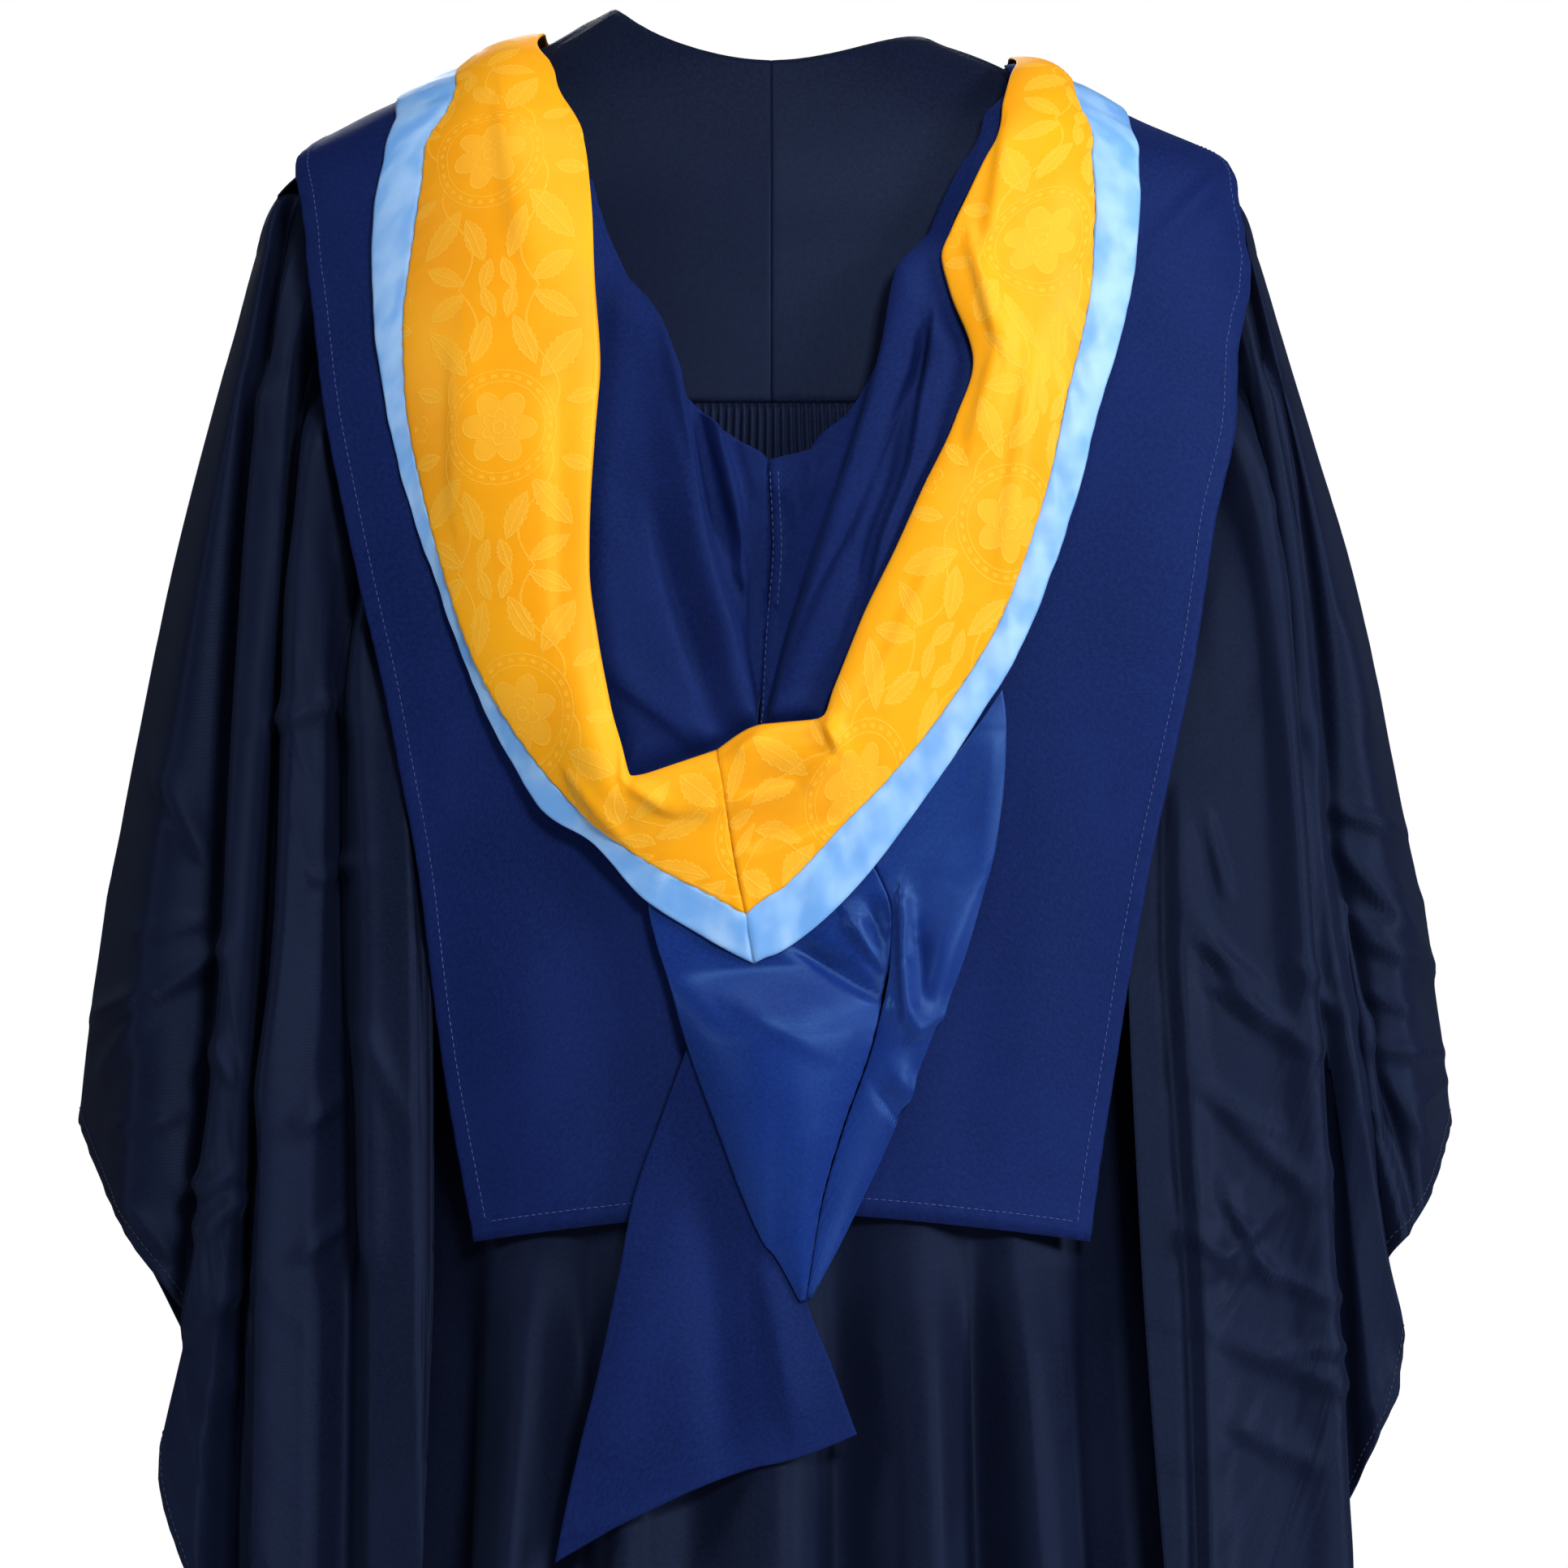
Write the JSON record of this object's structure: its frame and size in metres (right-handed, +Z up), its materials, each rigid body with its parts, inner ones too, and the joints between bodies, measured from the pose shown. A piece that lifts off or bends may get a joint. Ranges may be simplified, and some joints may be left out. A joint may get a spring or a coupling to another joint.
{
  "type": "graduation gown with academic hood",
  "caption": "Worn bachelor's gown with long pointed bell sleeves and a turned-out academic hood, hollow and open at the neck, sleeves and hem.",
  "frame": {"origin": "middle of the neck opening, level with the nape, where the wearer's neck and shoulders hold the gown", "axes": "+Z up, the back faces -Y, +X is the wearer's right"},
  "size_m": [0.7468, 0.4222, 1.2768],
  "materials": {
    "gown_cloth": "near-black navy plain weave with a slight sheen",
    "hood_cloth": "royal blue plain weave",
    "hood_lining": "golden yellow self-coloured damask",
    "hood_ribbon": "light blue satin"
  },
  "bodies": {
    "root": {"gown_back": "gown_cloth", "gown_front_left": "gown_cloth", "gown_front_right": "gown_cloth", "gown_sleeve_left": "gown_cloth", "gown_sleeve_right": "gown_cloth", "gown_yoke_left": "gown_cloth", "gown_yoke_right": "gown_cloth", "hood_cape_left": "hood_cloth", "hood_cape_right": "hood_cloth", "hood_cowl_left": "hood_cloth", "hood_cowl_right": "hood_cloth", "hood_drape_left": "hood_cloth", "hood_drape_right": "hood_cloth", "hood_liripipe": "hood_cloth", "hood_lining_left": "hood_lining", "hood_lining_right": "hood_lining", "hood_ribbon_left": "hood_ribbon", "hood_ribbon_right": "hood_ribbon"}
  },
  "joints": []
}
